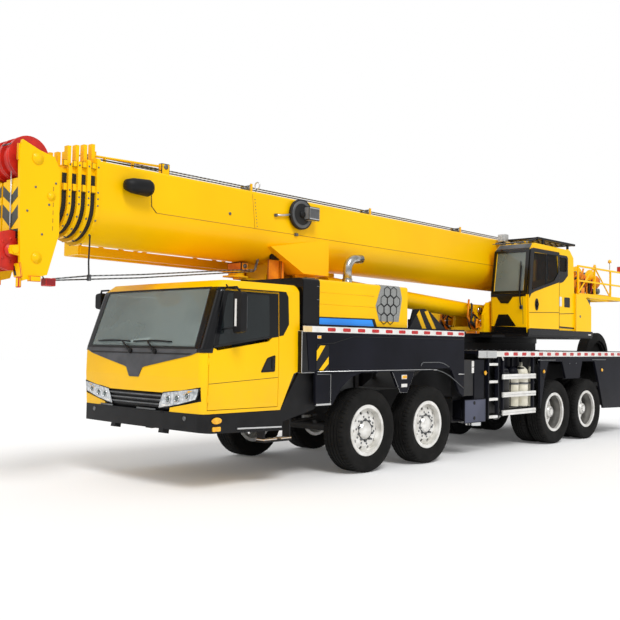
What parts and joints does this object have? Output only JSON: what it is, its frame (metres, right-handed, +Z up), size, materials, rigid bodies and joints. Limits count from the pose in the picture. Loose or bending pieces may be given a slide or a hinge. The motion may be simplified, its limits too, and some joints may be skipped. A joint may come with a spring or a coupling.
{
  "type": "truck-mounted telescopic mobile crane",
  "caption": "Four-axle truck crane with a telescopic boom laid forward over the cab, an operator's cab beside it, side outriggers and a lattice fly jib.",
  "frame": {"origin": "on the ground, at the middle of the overall length and width", "axes": "+X forward along the length, towards the boom's head, +Y to the vehicle's left, +Z up"},
  "size_m": [15.0499, 3.2, 4.1669],
  "materials": {
    "yellow": "gloss",
    "dark": "satin",
    "black_plastic": "matte",
    "tyre": "matte",
    "rim": "gloss",
    "steel": "satin",
    "rod": "polished",
    "red": "gloss",
    "grey": "matte",
    "engine": "matte"
  },
  "bodies": {
    "carrier": {"chassis_frame": "dark", "front_axles": "steel", "rear_axles": "steel", "rear_deck": "dark", "front_deck": "dark", "engine": "engine", "engine_cover": "yellow", "cab_shell": "yellow", "cab_interior": "grey", "front_bumper": "black_plastic", "boom_rest": "yellow", "hook_block": "yellow", "spare_wheel": "tyre"},
    "superstructure": {"turntable": "yellow", "main_winch": "yellow", "auxiliary_winch": "yellow", "counterweight": "yellow", "crane_cab_shell": "yellow"},
    "crane_cab_door": {"crane_cab_door": "yellow"},
    "boom_base": {"boom_section_1": "yellow", "fly_jib": "yellow"},
    "boom_second": {"boom_section_2": "yellow"},
    "boom_third": {"boom_section_3": "yellow"},
    "boom_fourth": {"boom_section_4": "yellow"},
    "boom_head": {"boom_section_5": "yellow", "head_sheaves": "red"},
    "luff_barrel": {"luff_barrel": "yellow"},
    "luff_rod": {"luff_rod": "rod"},
    "cab_door_left": {"cab_door_left": "yellow", "mirror_left": "black_plastic"},
    "knuckle_1_left": {"knuckle_1_left": "steel"},
    "wheel_1_left": {"tyre_1_left": "tyre", "rim_1_left": "rim"},
    "knuckle_2_left": {"knuckle_2_left": "steel"},
    "wheel_2_left": {"tyre_2_left": "tyre", "rim_2_left": "rim"},
    "wheel_3_left": {"tyre_3_left": "tyre", "rim_3_left": "rim"},
    "wheel_4_left": {"tyre_4_left": "tyre", "rim_4_left": "rim"},
    "outrigger_beam_front_left": {"outrigger_beam_front_left": "dark"},
    "outrigger_jack_front_left": {"outrigger_jack_front_left": "rod"},
    "outrigger_beam_rear_left": {"outrigger_beam_rear_left": "dark"},
    "outrigger_jack_rear_left": {"outrigger_jack_rear_left": "rod"},
    "cab_door_right": {"cab_door_right": "yellow", "mirror_right": "black_plastic"},
    "knuckle_1_right": {"knuckle_1_right": "steel"},
    "wheel_1_right": {"tyre_1_right": "tyre", "rim_1_right": "rim"},
    "knuckle_2_right": {"knuckle_2_right": "steel"},
    "wheel_2_right": {"tyre_2_right": "tyre", "rim_2_right": "rim"},
    "wheel_3_right": {"tyre_3_right": "tyre", "rim_3_right": "rim"},
    "wheel_4_right": {"tyre_4_right": "tyre", "rim_4_right": "rim"},
    "outrigger_beam_front_right": {"outrigger_beam_front_right": "dark"},
    "outrigger_jack_front_right": {"outrigger_jack_front_right": "rod"},
    "outrigger_beam_rear_right": {"outrigger_beam_rear_right": "dark"},
    "outrigger_jack_rear_right": {"outrigger_jack_rear_right": "rod"}
  },
  "joints": [
    {"name": "cab_door_left_hinge", "type": "hinge", "parent": "carrier", "child": "cab_door_left", "pos_m": [5.258, 1.3, 1.5], "axis": [0, 0, -1], "range_deg": [0, 65]},
    {"name": "steer_1_left", "type": "hinge", "parent": "carrier", "child": "knuckle_1_left", "pos_m": [2.325, 0.96, 0.6], "axis": [0, 0, 1], "range_deg": [-32, 32]},
    {"name": "wheel_1_left_spin", "type": "hinge", "parent": "knuckle_1_left", "child": "wheel_1_left", "pos_m": [2.325, 1.185, 0.6], "axis": [0, 1, 0], "continuous": true},
    {"name": "steer_2_left", "type": "hinge", "parent": "carrier", "child": "knuckle_2_left", "pos_m": [0.855, 0.96, 0.6], "axis": [0, 0, 1], "range_deg": [-24, 24]},
    {"name": "wheel_2_left_spin", "type": "hinge", "parent": "knuckle_2_left", "child": "wheel_2_left", "pos_m": [0.855, 1.185, 0.6], "axis": [0, 1, 0], "continuous": true},
    {"name": "wheel_3_left_spin", "type": "hinge", "parent": "carrier", "child": "wheel_3_left", "pos_m": [-3.25, 1.04, 0.6], "axis": [0, 1, 0], "continuous": true},
    {"name": "wheel_4_left_spin", "type": "hinge", "parent": "carrier", "child": "wheel_4_left", "pos_m": [-4.6, 1.04, 0.6], "axis": [0, 1, 0], "continuous": true},
    {"name": "outrigger_beam_front_left_slide", "type": "slide", "parent": "carrier", "child": "outrigger_beam_front_left", "axis": [0, 1, 0], "range_m": [0, 1.85]},
    {"name": "outrigger_jack_front_left_slide", "type": "slide", "parent": "outrigger_beam_front_left", "child": "outrigger_jack_front_left", "axis": [0, 0, -1], "range_m": [0, 0.56]},
    {"name": "outrigger_beam_rear_left_slide", "type": "slide", "parent": "carrier", "child": "outrigger_beam_rear_left", "axis": [0, 1, 0], "range_m": [0, 1.85]},
    {"name": "outrigger_jack_rear_left_slide", "type": "slide", "parent": "outrigger_beam_rear_left", "child": "outrigger_jack_rear_left", "axis": [0, 0, -1], "range_m": [0, 0.56]},
    {"name": "cab_door_right_hinge", "type": "hinge", "parent": "carrier", "child": "cab_door_right", "pos_m": [5.258, -1.3, 1.5], "axis": [0, 0, 1], "range_deg": [0, 65]},
    {"name": "steer_1_right", "type": "hinge", "parent": "carrier", "child": "knuckle_1_right", "pos_m": [2.325, -0.96, 0.6], "axis": [0, 0, 1], "range_deg": [-32, 32]},
    {"name": "wheel_1_right_spin", "type": "hinge", "parent": "knuckle_1_right", "child": "wheel_1_right", "pos_m": [2.325, -1.185, 0.6], "axis": [0, 1, 0], "continuous": true},
    {"name": "steer_2_right", "type": "hinge", "parent": "carrier", "child": "knuckle_2_right", "pos_m": [0.855, -0.96, 0.6], "axis": [0, 0, 1], "range_deg": [-24, 24]},
    {"name": "wheel_2_right_spin", "type": "hinge", "parent": "knuckle_2_right", "child": "wheel_2_right", "pos_m": [0.855, -1.185, 0.6], "axis": [0, 1, 0], "continuous": true},
    {"name": "wheel_3_right_spin", "type": "hinge", "parent": "carrier", "child": "wheel_3_right", "pos_m": [-3.25, -1.04, 0.6], "axis": [0, 1, 0], "continuous": true},
    {"name": "wheel_4_right_spin", "type": "hinge", "parent": "carrier", "child": "wheel_4_right", "pos_m": [-4.6, -1.04, 0.6], "axis": [0, 1, 0], "continuous": true},
    {"name": "outrigger_beam_front_right_slide", "type": "slide", "parent": "carrier", "child": "outrigger_beam_front_right", "axis": [0, -1, 0], "range_m": [0, 1.85]},
    {"name": "outrigger_jack_front_right_slide", "type": "slide", "parent": "outrigger_beam_front_right", "child": "outrigger_jack_front_right", "axis": [0, 0, -1], "range_m": [0, 0.56]},
    {"name": "outrigger_beam_rear_right_slide", "type": "slide", "parent": "carrier", "child": "outrigger_beam_rear_right", "axis": [0, -1, 0], "range_m": [0, 1.85]},
    {"name": "outrigger_jack_rear_right_slide", "type": "slide", "parent": "outrigger_beam_rear_right", "child": "outrigger_jack_rear_right", "axis": [0, 0, -1], "range_m": [0, 0.56]},
    {"name": "slew", "type": "hinge", "parent": "carrier", "child": "superstructure", "pos_m": [-3.3, 0, 1.95], "axis": [0, 0, 1], "continuous": true},
    {"name": "crane_cab_door_slide", "type": "slide", "parent": "superstructure", "child": "crane_cab_door", "axis": [-1, 0, 0], "range_m": [0, 0.64]},
    {"name": "luff", "type": "hinge", "parent": "superstructure", "child": "boom_base", "pos_m": [-4.825, 0, 3.2], "axis": [0, -1, 0], "range_deg": [0, 80]},
    {"name": "telescope_2", "type": "slide", "parent": "boom_base", "child": "boom_second", "axis": [1, 0, 0.006], "range_m": [0, 8.8]},
    {"name": "telescope_3", "type": "slide", "parent": "boom_second", "child": "boom_third", "axis": [1, 0, 0.006], "range_m": [0, 8.8]},
    {"name": "telescope_4", "type": "slide", "parent": "boom_third", "child": "boom_fourth", "axis": [1, 0, 0.006], "range_m": [0, 8.8]},
    {"name": "telescope_5", "type": "slide", "parent": "boom_fourth", "child": "boom_head", "axis": [1, 0, 0.006], "range_m": [0, 8.8]},
    {"name": "luff_cylinder_foot", "type": "hinge", "parent": "superstructure", "child": "luff_barrel", "pos_m": [-2.355, 0, 2.51], "axis": [0, -1, 0], "range_deg": [0, 94]},
    {"name": "luff_cylinder_rod", "type": "slide", "parent": "luff_barrel", "child": "luff_rod", "axis": [0.9982, 0, 0.0602], "range_m": [0, 3.05]}
  ],
  "couplings": [
    {"joint": "steer_1_right", "follows": "steer_1_left", "ratio": 1},
    {"joint": "steer_2_left", "follows": "steer_1_left", "ratio": 0.75},
    {"joint": "steer_2_right", "follows": "steer_1_left", "ratio": 0.75},
    {"joint": "telescope_3", "follows": "telescope_2", "ratio": 1},
    {"joint": "telescope_4", "follows": "telescope_2", "ratio": 1},
    {"joint": "telescope_5", "follows": "telescope_2", "ratio": 1},
    {"joint": "luff_cylinder_foot", "follows": "luff", "ratio": 1.1568},
    {"joint": "luff_cylinder_rod", "follows": "luff", "m_per_rad": 2.1587}
  ]
}
